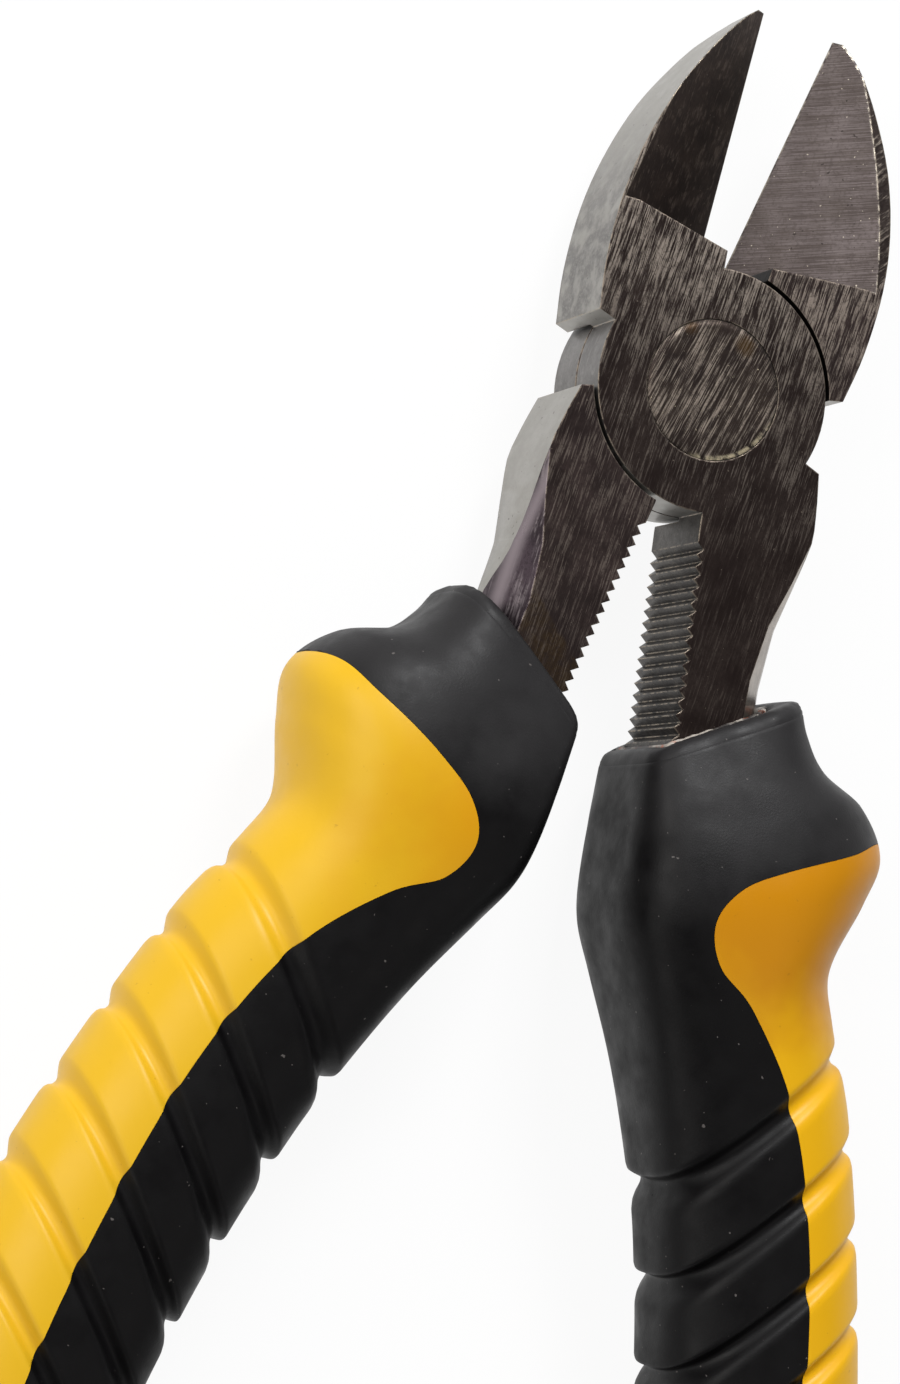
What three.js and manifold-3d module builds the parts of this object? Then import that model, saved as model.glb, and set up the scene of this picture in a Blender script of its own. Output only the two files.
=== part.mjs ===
// Side cutters: two forged halves crossing in a lap joint on one flush rivet, each
// with a moulded grip made of a hard insert and a soft cover.
// Millimetres. The pivot axis is Z, the jaws point along +Y, the front faces +Z, and
// Z = 0 is the ground back face of the joint. The jaws stand a little open.
import * as THREE from "three";
import { mergeVertices } from "three/addons/utils/BufferGeometryUtils.js";
import Module from "manifold-3d";

const wasm = await Module();
wasm.setup();

// Lap joint and rivet
const OPENING = THREE.MathUtils.degToRad(11.4);
const JOINT_THICKNESS = 11;
const HUB_RADIUS = 11.4;
const HUB_CLEARANCE = 0.4;
const LAP_GAP = 0.3;
const RIVET_RADIUS = 6.5;
const RIVET_HEAD = 1.6;
const RIVET_WAIST = 1.8;
const RIVET_CLEARANCE = 0.08;

// Jaws: the cutting edge lies near the back at its root and rises towards the tip
const JAW_LENGTH = 37.2;
const JAW_HALF_WIDTH = 12.4;
const TIP_WIDTH = 0.9;
const HEEL_ANGLE = THREE.MathUtils.degToRad(159.5);
const HEEL_LIP = 1.8;
const EDGE_GAP = 0.1;
const EDGE_ROOT_INSET = 1.4;
const EDGE_ROOT_DEPTH = 0.6;
const EDGE_RISE = 0.208;
const FRONT_HALF_BEVEL = THREE.MathUtils.degToRad(37.7);
const BACK_HALF_BEVEL = THREE.MathUtils.degToRad(38.7);
const UNDER_BEVEL = THREE.MathUtils.degToRad(55);
const STEP_OUTER = 4;
const STEP_INNER = 1.6;
const STEP_SLOT = 1.1;
const STEP_CORNER = 0.85;
const RELIEF_START = 4.5;
const RELIEF_DROP = 3.1;
const RELIEF_CURVE = 1.7;

// Necks with a row of crimping teeth on the inner side
const SHOULDER_ANGLE = THREE.MathUtils.degToRad(-23.1);
const SHOULDER_LIP = 1.6;
const NECK_DROP = 0.7;
const NECK_BULGE = 1.1;
const NECK_WAIST = 0.35;
const NECK_WIDTH = 9.4;
const NECK_LENGTH = 22.5;
const NECK_GAP = 1.2;
const NECK_TAPER = 1.3;
const FACET_WIDTH = 3;
const FACET_FALL = 4.7;
const ROUND_ACROSS = 0.4;
const ROUND_DOWN = 0.46;
const TOOTH_MARGIN = 2.2;
const TEETH = 16;
const TOOTH_DEPTH = 0.6;
const TEETH_START = 2;

// Handles: tang, hard insert and soft cover
const TANG_WIDTH = 7;
const TANG_THICKNESS = 6;
const TANG_LENGTH = 124;
const TANG_RELIEF = 0.25;
const TANG_OVERLAP = 1.5;
const TANG_CHAMFER = 1;
const SOCKET_CLEARANCE = 0.3;
const SLEEVE_WALL = 0.6;
const SLEEVE_PROUD = 0.1;
const COVER_WALL = 2.4;
const INSERT_GAP = 0.25;
const MOUTH = -25.6;
const MOUTH_ROUND = 0.7;
const INSERT_TOP = -37.5;
const GRIP_END = -134;
const END_ROUND = 6;
const END_WALL = 4;
const RIB_START = -55.6;
const RIB_PITCH = 7.8;
const RIBS = 8;
const RIB_DEPTH = 0.95;

// Plan lines of the right grip in the closed tool, as [x, y]
const GRIP_OUTER = [
  [15, -26],
  [16.2, -29],
  [18.6, -32],
  [22.9, -34.2],
  [25.9, -38.5],
  [25, -43],
  [22.7, -49.5],
  [23.9, -54],
  [27.2, -62],
  [31.4, -78],
  [34.3, -94],
  [35.3, -110],
  [34.6, -126],
  [33.2, -140],
];
const GRIP_INNER = [
  [0.15, -30],
  [0.12, -38],
  [0.15, -46],
  [0.7, -50],
  [2.3, -54],
  [5.65, -62],
  [8.35, -70],
  [10.6, -78],
  [13, -90],
  [14.6, -104],
  [15.1, -116],
  [14.8, -130],
  [14, -142],
];
// Half thickness of the grip, and how much lower a section lies at its inner end
const GRIP_HALF_THICKNESS = [
  [8, -26],
  [8.9, -30],
  [10.5, -36],
  [11.2, -41],
  [10.7, -46],
  [9.4, -52],
  [8.7, -60],
  [8.7, -112],
  [8.2, -134],
];
const GRIP_SLANT = [
  [8.2, -26],
  [7.4, -38],
  [9.5, -47],
  [16.4, -57],
  [16.4, -112],
  [12, -122],
  [6.5, -134],
];
// How far the middle of a section lies in front of the joint's middle
const GRIP_FORWARD = [
  [0.1, -26],
  [0.7, -36],
  [1, -48],
  [1.5, -60],
  [1.5, -134],
];
// How square the two sides of a section are: 2 is round
const INNER_SQUARENESS = [
  [6.5, -26],
  [5.5, -32],
  [4.4, -40],
  [3.4, -48],
  [2.8, -60],
  [2.8, -134],
];
const OUTER_SQUARENESS = [
  [3.4, -26],
  [2.4, -36],
  [2.2, -48],
  [2.2, -134],
];
// Edge of the hard insert, as [share of the way across the grip, y]
const INSERT_LINE = [
  [1.15, -38.3],
  [0.95, -38],
  [0.77, -39.8],
  [0.53, -42.5],
  [0.36, -45],
  [0.3, -48],
  [0.33, -52],
  [0.46, -55],
  [0.57, -62],
  [0.617, -70.5],
  [0.61, -82],
  [0.576, -98],
  [0.56, -114],
  [0.62, -126],
  [0.82, -132],
  [1.15, -134],
];

const HALF = JOINT_THICKNESS / 2;
const ROUND_STEPS = 96;
const RIVET_STEPS = 56;
const GRIP_STEPS = 20;
const BARE_RINGS = 12;
const CORE_STEPS = 14;
const BEYOND = 60;
const CUT_REACH = 1;

// Solids for cutting and joining

function solid(geometry) {
  const bare = geometry.clone();
  bare.deleteAttribute("normal");
  bare.deleteAttribute("uv");
  const merged = mergeVertices(bare, 1e-4);
  return new wasm.Manifold(
    new wasm.Mesh({
      numProp: 3,
      vertProperties: merged.attributes.position.array,
      triVerts: new Uint32Array(merged.index.array),
    }),
  );
}

function geometryOf(body) {
  const { vertProperties, triVerts } = body.getMesh();
  const geometry = new THREE.BufferGeometry();
  geometry.setAttribute("position", new THREE.BufferAttribute(vertProperties, 3));
  geometry.setIndex(new THREE.BufferAttribute(triVerts, 1));
  geometry.computeVertexNormals();
  return geometry;
}

// Plan outline raised from one height to another; a height may be a function of x, y.
function prism(points, low, high) {
  const shape = new THREE.Shape(points);
  const geometry = new THREE.ExtrudeGeometry(shape, { depth: 1, bevelEnabled: false });
  const position = geometry.attributes.position;
  for (let i = 0; i < position.count; i++) {
    const height = position.getZ(i) < 0.5 ? low : high;
    const z = typeof height === "function" ? height(position.getX(i), position.getY(i)) : height;
    position.setZ(i, z);
  }
  return solid(geometry);
}

// Closed skin through rings of equal point count, with flat ends.
function loft(rings) {
  const count = rings[0].length;
  const vertices = rings.flat();
  const faces = [];
  for (let r = 0; r + 1 < rings.length; r++) {
    for (let i = 0; i < count; i++) {
      const a = r * count + i;
      const b = r * count + ((i + 1) % count);
      faces.push(a, b, b + count, a, b + count, a + count);
    }
  }
  const last = (rings.length - 1) * count;
  for (let i = 1; i + 1 < count; i++) {
    faces.push(0, i + 1, i);
    faces.push(last, last + i, last + i + 1);
  }
  const geometry = new THREE.BufferGeometry().setFromPoints(vertices);
  geometry.setIndex(faces);
  return solid(geometry);
}

// Smooth value at y along a line of [value, y] points that run downwards.
function along(line, y) {
  let i = 0;
  while (i < line.length - 2 && y < line[i + 1][1]) {
    i++;
  }
  const slope = (j) => {
    const before = line[Math.max(j - 1, 0)];
    const after = line[Math.min(j + 1, line.length - 1)];
    return (after[0] - before[0]) / (after[1] - before[1]);
  };
  const [v0, y0] = line[i];
  const [v1, y1] = line[i + 1];
  const span = y1 - y0;
  const t = THREE.MathUtils.clamp((y - y0) / span, 0, 1);
  const s = 1 - t;
  const ends = v0 * (1 + 2 * t) * s * s + v1 * (3 - 2 * t) * t * t;
  return ends + (slope(i) * t * s * s - slope(i + 1) * t * t * s) * span;
}

function polar(radius, angle) {
  return new THREE.Vector2(radius * Math.cos(angle), radius * Math.sin(angle));
}

function disc(radius, low, high) {
  const points = [];
  for (let i = 0; i < ROUND_STEPS; i++) {
    points.push(polar(radius, (2 * Math.PI * (i + 0.5)) / ROUND_STEPS));
  }
  return prism(points, low, high);
}

// Rivet with a conical seat under each flush head

function rivetBody(clearance) {
  const reach = clearance > 0 ? HALF + CUT_REACH : HALF;
  const head = RIVET_RADIUS + clearance;
  const shank = RIVET_RADIUS - RIVET_WAIST + clearance;
  const seat = HALF - RIVET_HEAD;
  const taper = seat - RIVET_WAIST;
  const profile = [
    [0, -reach],
    [head, -reach],
    [head, -seat],
    [shank, -taper],
    [shank, taper],
    [head, seat],
    [head, reach],
    [0, reach],
  ];
  const points = profile.map(([r, z]) => new THREE.Vector2(r, z));
  const turned = new THREE.LatheGeometry(points, RIVET_STEPS);
  turned.rotateX(Math.PI / 2);
  return solid(turned);
}

// One half of the forging, drawn closed with its jaw on the left. The front half has
// its lap on +Z and the back half on -Z.

const edgeRoot = HUB_RADIUS - EDGE_ROOT_INSET;

function edgeHeight(y) {
  return EDGE_ROOT_DEPTH - HALF + EDGE_RISE * (y - edgeRoot);
}

function jawBody(bevel) {
  const profile = [
    [1.02, 0.256],
    [0.985, 0.415],
    [0.883, 0.566],
    [0.702, 0.72],
    [0.45, 0.857],
    [0.205, 0.96],
  ];
  const heel = polar(HUB_RADIUS + HEEL_LIP, HEEL_ANGLE);
  const tip = new THREE.Vector2(-TIP_WIDTH, JAW_LENGTH);
  const flank = profile.map(
    ([across, up]) => new THREE.Vector2(-JAW_HALF_WIDTH * across, JAW_LENGTH * up),
  );
  const outer = new THREE.SplineCurve([heel, ...flank, tip]).getSpacedPoints(28);
  const inside = -EDGE_GAP / 2;
  const outline = [
    ...outer,
    new THREE.Vector2(inside, JAW_LENGTH),
    new THREE.Vector2(inside, 0),
    polar(HUB_RADIUS / 2, HEEL_ANGLE),
  ];
  return prism(outline, -HALF, HALF).subtract(topBevel(bevel)).subtract(underBevel());
}

function topBevel(bevel) {
  const stepOuter = HUB_RADIUS + STEP_OUTER;
  const stepInner = HUB_RADIUS + STEP_INNER;
  const region = [
    new THREE.Vector2(-BEYOND, stepOuter),
    new THREE.Vector2(-STEP_CORNER * JAW_HALF_WIDTH, stepOuter),
    new THREE.Vector2(-STEP_SLOT, stepInner),
    new THREE.Vector2(-STEP_SLOT, 0),
    new THREE.Vector2(BEYOND, 0),
    new THREE.Vector2(BEYOND, BEYOND),
    new THREE.Vector2(-BEYOND, BEYOND),
  ];
  const plane = (x, y) => edgeHeight(y) - x * Math.tan(bevel);
  return prism(region, plane, 2 * BEYOND);
}

function underBevel() {
  const region = [
    new THREE.Vector2(-BEYOND, 0),
    new THREE.Vector2(BEYOND, 0),
    new THREE.Vector2(BEYOND, BEYOND),
    new THREE.Vector2(-BEYOND, BEYOND),
  ];
  const plane = (x, y) => edgeHeight(y) + x * Math.tan(UNDER_BEVEL);
  return prism(region, -3 * BEYOND, plane);
}

// The back half's jaw is ground lower towards its tip, which leaves a rim beside the bevel.
function tipRelief() {
  const start = HUB_RADIUS + RELIEF_START;
  const rings = [];
  for (let i = 10; i >= 0; i--) {
    const share = i / 8;
    const y = THREE.MathUtils.lerp(start, JAW_LENGTH, share);
    const z = HALF - RELIEF_DROP * share ** RELIEF_CURVE;
    rings.push([
      new THREE.Vector3(-BEYOND, y, z),
      new THREE.Vector3(BEYOND, y, z),
      new THREE.Vector3(BEYOND, y, BEYOND),
      new THREE.Vector3(-BEYOND, y, BEYOND),
    ]);
  }
  return loft(rings);
}

// Inner line of the neck: the tooth tips lie on it.
const neckTop = -HUB_RADIUS - NECK_DROP;
const neckBottom = neckTop - NECK_LENGTH;

function neckInner(y) {
  return NECK_GAP + (NECK_TAPER * (neckTop - y)) / NECK_LENGTH;
}

function neckBody() {
  const shoulder = polar(HUB_RADIUS + SHOULDER_LIP, SHOULDER_ANGLE);
  const root = neckInner(neckBottom) + NECK_WIDTH;
  const bulge = new THREE.Vector2(HUB_RADIUS + NECK_BULGE, neckTop);
  const outer = new THREE.SplineCurve([
    shoulder,
    new THREE.Vector2(HUB_RADIUS + NECK_BULGE - 0.1, (shoulder.y + neckTop) / 2),
    bulge,
    new THREE.Vector2(root - NECK_WAIST, neckTop - 0.355 * NECK_LENGTH),
    new THREE.Vector2(root, neckTop - 0.61 * NECK_LENGTH),
    new THREE.Vector2(root, neckBottom),
  ]).getSpacedPoints(22);
  const teeth = [];
  const pitch = (NECK_LENGTH - TEETH_START - TOOTH_MARGIN) / TEETH;
  for (let i = 0; i <= TEETH; i++) {
    const y = neckBottom + TOOTH_MARGIN + i * pitch;
    teeth.push(new THREE.Vector2(neckInner(y), y));
    if (i < TEETH) {
      teeth.push(new THREE.Vector2(neckInner(y) + TOOTH_DEPTH, y + pitch / 2));
    }
  }
  const outline = [
    polar(HUB_RADIUS / 2, SHOULDER_ANGLE),
    ...outer,
    new THREE.Vector2(neckInner(neckBottom), neckBottom),
    ...teeth,
    new THREE.Vector2(neckInner(neckTop), neckTop),
    new THREE.Vector2(NECK_GAP, -HUB_RADIUS / 2),
  ];
  const blank = prism(outline, -HALF, HALF);
  return blank.subtract(neckFacet(bulge, root, 1)).subtract(neckFacet(bulge, root, -1));
}

// Rounded facet down the outer side of the neck, wider and deeper towards the grip. There
// is one at the front, side 1, and one at the back, side -1.
function neckFacet(bulge, root, side) {
  const waist = root - NECK_WAIST;
  const stations = [
    [-0.02, 0, bulge.x],
    [0.17, 0.27, THREE.MathUtils.lerp(bulge.x, waist, 0.5)],
    [0.355, 0.6, waist],
    [0.59, 1, root],
    [1.1, 1, root],
  ];
  const rings = stations.map(([down, size, wall]) => {
    const width = FACET_WIDTH * size;
    const fall = FACET_FALL * size;
    const section = [
      [wall - width, HALF],
      [wall - ROUND_ACROSS * width, HALF - ROUND_DOWN * fall],
      [wall, HALF - fall],
      [BEYOND, HALF - fall],
      [BEYOND, BEYOND],
      [wall - width, BEYOND],
    ];
    const y = bulge.y - down * NECK_LENGTH;
    const ring = section.map(([x, z]) => new THREE.Vector3(x, y, side * z));
    return side > 0 ? ring : ring.reverse();
  });
  return loft(rings);
}

// Steel tang inside the grip with the neck's facets fading out; swollen, it cuts its socket.
function tangBody(top, swell) {
  const rings = [];
  const neckMiddle = neckInner(neckBottom) + NECK_WIDTH / 2;
  const steps = 10;
  for (let i = -1; i <= steps; i++) {
    const y = i < 0 ? top : THREE.MathUtils.lerp(neckBottom - 1, -TANG_LENGTH - swell, i / steps);
    const blend = THREE.MathUtils.smoothstep(neckBottom - y, 2, 25);
    const gripMiddle = (along(GRIP_INNER, y) + along(GRIP_OUTER, y)) / 2;
    const x = THREE.MathUtils.lerp(neckMiddle, gripMiddle, blend);
    const half = THREE.MathUtils.lerp(NECK_WIDTH, TANG_WIDTH, blend) / 2 + swell;
    const depth = THREE.MathUtils.lerp(JOINT_THICKNESS, TANG_THICKNESS, blend) / 2 + swell;
    const width = THREE.MathUtils.lerp(FACET_WIDTH, TANG_CHAMFER, blend);
    const fall = THREE.MathUtils.lerp(FACET_FALL, TANG_CHAMFER, blend);
    const section = [
      [x - half, -depth],
      [x + half - width, -depth],
      [x + half - ROUND_ACROSS * width, -depth + ROUND_DOWN * fall],
      [x + half, -depth + fall],
      [x + half, depth - fall],
      [x + half - ROUND_ACROSS * width, depth - ROUND_DOWN * fall],
      [x + half - width, depth],
      [x - half, depth],
    ];
    rings.push(section.map(([px, pz]) => new THREE.Vector3(px, y, pz)));
  }
  return loft(rings);
}

function forgedHalf(lapSide, jaw) {
  const lapFace = (lapSide * LAP_GAP) / 2;
  const ends = [lapFace, lapSide * HALF];
  const lap = disc(HUB_RADIUS, Math.min(...ends), Math.max(...ends));
  const cut = [lapFace, -lapSide * (HALF + CUT_REACH)];
  const recess = disc(HUB_RADIUS + HUB_CLEARANCE, Math.min(...cut), Math.max(...cut));
  const arms = jaw.add(neckBody()).subtract(recess);
  const tang = tangBody(neckBottom + TANG_OVERLAP, -TANG_RELIEF);
  return arms.add(tang).add(lap).subtract(rivetBody(RIVET_CLEARANCE));
}

// Grip sections run across the handle with their outer end higher. A section is known
// by the height of its outer end.
function gripRing(y, inset, steps) {
  const outerEnd = new THREE.Vector3(along(GRIP_OUTER, y), y, 0);
  const innerY = y - along(GRIP_SLANT, y);
  const innerEnd = new THREE.Vector3(along(GRIP_INNER, innerY), innerY, 0);
  const middle = outerEnd.clone().add(innerEnd).divideScalar(2);
  const across = outerEnd.clone().sub(middle);
  const width = across.length();
  const level = Math.abs(across.x) / width;
  across.multiplyScalar((width - inset / level) / width);
  const rise = along(GRIP_HALF_THICKNESS, y) - inset;
  const forward = along(GRIP_FORWARD, y);
  const ring = [];
  for (let i = 0; i < steps; i++) {
    const angle = (2 * Math.PI * i) / steps;
    const c = Math.cos(angle);
    const s = Math.sin(angle);
    const power = 2 / along(c < 0 ? INNER_SQUARENESS : OUTER_SQUARENESS, y);
    const point = middle.clone();
    point.addScaledVector(across, Math.sign(c) * Math.abs(c) ** power);
    point.z = forward + rise * Math.sign(s) * Math.abs(s) ** power;
    ring.push(point);
  }
  return ring;
}

// Rounded end of the handle: the last section shrinks as it moves on.
function endRings(inset, length, steps) {
  const rings = [];
  const last = gripRing(GRIP_END, inset, steps);
  const middle = new THREE.Vector3();
  last.forEach((point) => middle.addScaledVector(point, 1 / last.length));
  for (const turn of [0.3, 0.55, 0.78, 0.93]) {
    const shrink = Math.cos((turn * Math.PI) / 2);
    const down = length * Math.sin((turn * Math.PI) / 2);
    rings.push(
      last.map((point) => {
        const moved = point.clone().sub(middle).multiplyScalar(shrink).add(middle);
        moved.y -= down;
        return moved;
      }),
    );
  }
  return rings;
}

// Full grip with its ribs: each land swells towards its lower lip and drops sharply.
function gripBody() {
  const rings = [
    gripRing(MOUTH, MOUTH_ROUND, GRIP_STEPS),
    gripRing(MOUTH - 0.3 * MOUTH_ROUND, 0.35 * MOUTH_ROUND, GRIP_STEPS),
  ];
  const bareLength = MOUTH - MOUTH_ROUND - RIB_START;
  for (let i = 0; i < BARE_RINGS; i++) {
    rings.push(gripRing(MOUTH - MOUTH_ROUND - (bareLength * i) / BARE_RINGS, 0, GRIP_STEPS));
  }
  const tooth = [
    [0, 0],
    [0.06, 1],
    [0.17, 0.95],
    [0.26, 0.35],
    [0.6, 0.1],
  ];
  for (let rib = 0; rib < RIBS; rib++) {
    for (const [share, depth] of tooth) {
      const y = RIB_START - RIB_PITCH * (rib + share);
      rings.push(gripRing(y, depth * RIB_DEPTH, GRIP_STEPS));
    }
  }
  const ribEnd = RIB_START - RIB_PITCH * RIBS;
  for (let i = 0; i <= 3; i++) {
    rings.push(gripRing(THREE.MathUtils.lerp(ribEnd, GRIP_END, i / 3), 0, GRIP_STEPS));
  }
  return loft([...rings, ...endRings(0, END_ROUND, GRIP_STEPS)]);
}

// Plain body under the cover's wall
function gripCore(inset) {
  const rings = [];
  const lowest = GRIP_END + END_WALL;
  const steps = 12;
  for (let i = 0; i <= steps; i++) {
    const y = THREE.MathUtils.lerp(INSERT_TOP, lowest, i / steps);
    rings.push(gripRing(y, inset, CORE_STEPS));
  }
  return loft(rings);
}

// Window through which the hard insert shows on the outer side of the handle
function insertWindow(gap) {
  const edge = INSERT_LINE.map(([share, y]) => {
    const x = THREE.MathUtils.lerp(along(GRIP_INNER, y), along(GRIP_OUTER, y), share);
    return new THREE.Vector2(x, y);
  });
  const line = new THREE.SplineCurve(edge).getSpacedPoints(48);
  const moved = line.map((point, i) => {
    const before = line[Math.max(i - 1, 0)];
    const after = line[Math.min(i + 1, line.length - 1)];
    const way = after.clone().sub(before).normalize();
    return new THREE.Vector2(point.x - way.y * gap, point.y + way.x * gap);
  });
  const first = moved[0];
  const final = moved[moved.length - 1];
  const outline = [
    ...moved,
    new THREE.Vector2(BEYOND, final.y),
    new THREE.Vector2(BEYOND, first.y),
  ];
  return prism(outline, -BEYOND, BEYOND);
}

// Sleeve of the insert round the neck, ending a little proud of the mouth
function sleeveBody() {
  const slope = along(GRIP_SLANT, MOUTH) / (along(GRIP_OUTER, MOUTH) - along(GRIP_INNER, MOUTH));
  const top = (x) => MOUTH + SLEEVE_PROUD + (x - along(GRIP_OUTER, MOUTH)) * slope;
  const below = [
    new THREE.Vector2(-BEYOND, top(-BEYOND)),
    new THREE.Vector2(-BEYOND, -3 * BEYOND),
    new THREE.Vector2(BEYOND, -3 * BEYOND),
    new THREE.Vector2(BEYOND, top(BEYOND)),
  ];
  return socketBody(SLEEVE_WALL).intersect(prism(below, -BEYOND, BEYOND));
}

function socketBody(wall) {
  return tangBody(neckTop - 0.42 * NECK_LENGTH, SOCKET_CLEARANCE + wall);
}

function insertBody(grip) {
  const pad = grip.intersect(insertWindow(INSERT_GAP));
  const core = gripCore(COVER_WALL + INSERT_GAP);
  return core.add(pad).add(sleeveBody()).subtract(socketBody(0));
}

function coverBody(grip) {
  const hollow = gripCore(COVER_WALL).add(insertWindow(0));
  return grip.subtract(hollow).subtract(socketBody(SLEEVE_WALL + INSERT_GAP));
}

// Materials

function forgedSteel() {
  return new THREE.MeshStandardMaterial({ color: 0x4a4441, roughness: 0.42, metalness: 1 });
}

function rivetSteel() {
  return new THREE.MeshStandardMaterial({ color: 0x524b46, roughness: 0.5, metalness: 1 });
}

function yellowPlastic() {
  return new THREE.MeshStandardMaterial({ color: 0xeab12a, roughness: 0.35, metalness: 0 });
}

function blackRubber() {
  return new THREE.MeshStandardMaterial({ color: 0x1c1a1c, roughness: 0.6, metalness: 0 });
}

// Assembly

function piece(name, body, material) {
  const mesh = new THREE.Mesh(geometryOf(body), material);
  mesh.name = name;
  return mesh;
}

const grip = gripBody();
const insert = insertBody(grip);
const cover = coverBody(grip);

const frontArm = new THREE.Group();
frontArm.rotation.z = OPENING / 2;
frontArm.add(piece("front_half", forgedHalf(1, jawBody(FRONT_HALF_BEVEL)), forgedSteel()));
frontArm.add(piece("right_grip_insert", insert, yellowPlastic()));
frontArm.add(piece("right_grip_cover", cover, blackRubber()));
frontArm.add(piece("pivot_rivet", rivetBody(0), rivetSteel()));

const backArm = new THREE.Group();
backArm.scale.x = -1;
backArm.rotation.z = -OPENING / 2;
const relievedJaw = jawBody(BACK_HALF_BEVEL).subtract(tipRelief());
backArm.add(piece("back_half", forgedHalf(-1, relievedJaw), forgedSteel()));
backArm.add(piece("left_grip_insert", insert, yellowPlastic()));
backArm.add(piece("left_grip_cover", cover, blackRubber()));

const sideCutters = new THREE.Group();
sideCutters.add(frontArm, backArm);
sideCutters.position.z = HALF;

const part = new THREE.Group();
part.add(sideCutters);

export default part;
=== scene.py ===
import math

import bmesh
import bpy
import numpy as np
from mathutils import Matrix, Vector


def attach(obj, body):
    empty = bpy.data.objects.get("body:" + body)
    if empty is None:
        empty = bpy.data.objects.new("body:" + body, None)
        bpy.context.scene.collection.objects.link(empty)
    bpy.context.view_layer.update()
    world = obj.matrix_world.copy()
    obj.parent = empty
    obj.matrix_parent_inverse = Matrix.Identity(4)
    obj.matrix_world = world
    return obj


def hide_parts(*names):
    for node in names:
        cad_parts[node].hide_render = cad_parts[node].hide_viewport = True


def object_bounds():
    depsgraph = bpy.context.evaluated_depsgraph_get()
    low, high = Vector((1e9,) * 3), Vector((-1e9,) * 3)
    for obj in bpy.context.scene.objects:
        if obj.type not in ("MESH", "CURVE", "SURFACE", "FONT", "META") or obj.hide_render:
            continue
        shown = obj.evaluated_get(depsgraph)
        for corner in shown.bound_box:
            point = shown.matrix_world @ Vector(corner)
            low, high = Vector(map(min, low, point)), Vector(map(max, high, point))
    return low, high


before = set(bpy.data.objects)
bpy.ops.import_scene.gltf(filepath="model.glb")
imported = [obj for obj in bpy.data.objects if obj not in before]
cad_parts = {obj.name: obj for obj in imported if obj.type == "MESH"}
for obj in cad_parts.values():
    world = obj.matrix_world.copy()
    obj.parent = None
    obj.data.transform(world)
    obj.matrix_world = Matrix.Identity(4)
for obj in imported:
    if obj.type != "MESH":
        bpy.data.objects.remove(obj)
cad_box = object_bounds()

MM = 0.001
HALF_OPENING = math.radians(5.7)
JOINT_FRONT = 11.0


# Camera, light and floor, in metres

CAMERA_RIGHT = Vector((0.897784, 0.278866, 0.340907))
CAMERA_DOWN = Vector((0.311538, -0.949216, -0.043969))
CAMERA_FORWARD = Vector((0.311333, 0.145680, -0.939068))
CAMERA_PLACE = Vector((-125.482, -85.723, 340.635)) * MM
CAMERA_LENS = 102.138
CAMERA_SENSOR = 36.0
CAMERA_REACH = (0.01, 20.0)

WORLD_LIGHT = 0.2
WARM = (1.0, 0.98, 0.95)
WARMER = (1.0, 0.97, 0.94)
COOL = (0.98, 0.99, 1.0)
JOINT = (0, -0.03, 0)
GRIPS = (0, -0.05, 0)
# Name, place, aim, size, power in watts and colour
LIGHTS = [("key", (-0.62, 0.12, 0.62), JOINT, (0.6, 0.6), 4.2, WARM),
          ("side", (-0.6, -0.42, 0.3), GRIPS, (0.4, 0.4), 1.0, WARM),
          ("fill", (0.55, -0.35, 0.75), JOINT, (0.5, 0.5), 0.7, WARMER),
          ("top", (-0.02, 0.62, 0.58), JOINT, (0.26, 0.22), 6.6, COOL)]

FLOOR_REACH = 3.0
BACKDROP_HEIGHT = 0.7
FLOOR_COLOUR = (0.86, 0.86, 0.86, 1)
FLOOR_WHITE = 0.93
WHITE = (1, 1, 1, 1)


def make_camera():
    data = bpy.data.cameras.new("camera")
    data.lens = CAMERA_LENS
    data.sensor_width = CAMERA_SENSOR
    data.clip_start, data.clip_end = CAMERA_REACH
    camera = bpy.data.objects.new("camera", data)
    bpy.context.scene.collection.objects.link(camera)
    matrix = Matrix((CAMERA_RIGHT, -CAMERA_DOWN, -CAMERA_FORWARD)).transposed().to_4x4()
    matrix.translation = CAMERA_PLACE
    camera.matrix_world = matrix
    bpy.context.scene.camera = camera


def area_light(name, place, aim, size, power, colour):
    data = bpy.data.lights.new(name, "AREA")
    data.shape = "RECTANGLE"
    data.size, data.size_y = size
    data.energy = power
    data.color = colour
    light = bpy.data.objects.new(name, data)
    bpy.context.scene.collection.objects.link(light)
    light.location = place
    way = Vector(aim) - Vector(place)
    light.rotation_euler = way.to_track_quat("-Z", "Y").to_euler()


def add(tree, kind, inputs=None, **settings):
    """A new node with its inputs set or linked."""
    node = tree.nodes.new(kind)
    for name, value in settings.items():
        setattr(node, name, value)
    for name, value in (inputs or {}).items():
        socket = node.inputs[name]
        if isinstance(value, bpy.types.NodeSocket):
            tree.links.new(value, socket)
        else:
            socket.default_value = value
    return node


def math_node(tree, operation, first, second):
    return add(tree, "ShaderNodeMath", {0: first, 1: second}, operation=operation).outputs[0]


def plus(tree, first, second):
    return math_node(tree, "ADD", first, second)


def times(tree, first, second):
    return math_node(tree, "MULTIPLY", first, second)


def seen_directly(tree):
    """1 where the camera sees a point, also by way of metal or glass."""
    rays = add(tree, "ShaderNodeLightPath").outputs
    seen = math_node(tree, "MAXIMUM", rays["Is Camera Ray"], rays["Is Glossy Ray"])
    return math_node(tree, "MAXIMUM", seen, rays["Is Transmission Ray"])


def make_world():
    world = bpy.data.worlds.new("studio")
    bpy.context.scene.world = world
    world.use_nodes = True
    tree = world.node_tree
    tree.nodes.clear()
    background = add(tree, "ShaderNodeBackground", {"Color": WHITE, "Strength": WORLD_LIGHT})
    out = add(tree, "ShaderNodeOutputWorld")
    tree.links.new(background.outputs[0], out.inputs["Surface"])


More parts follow.
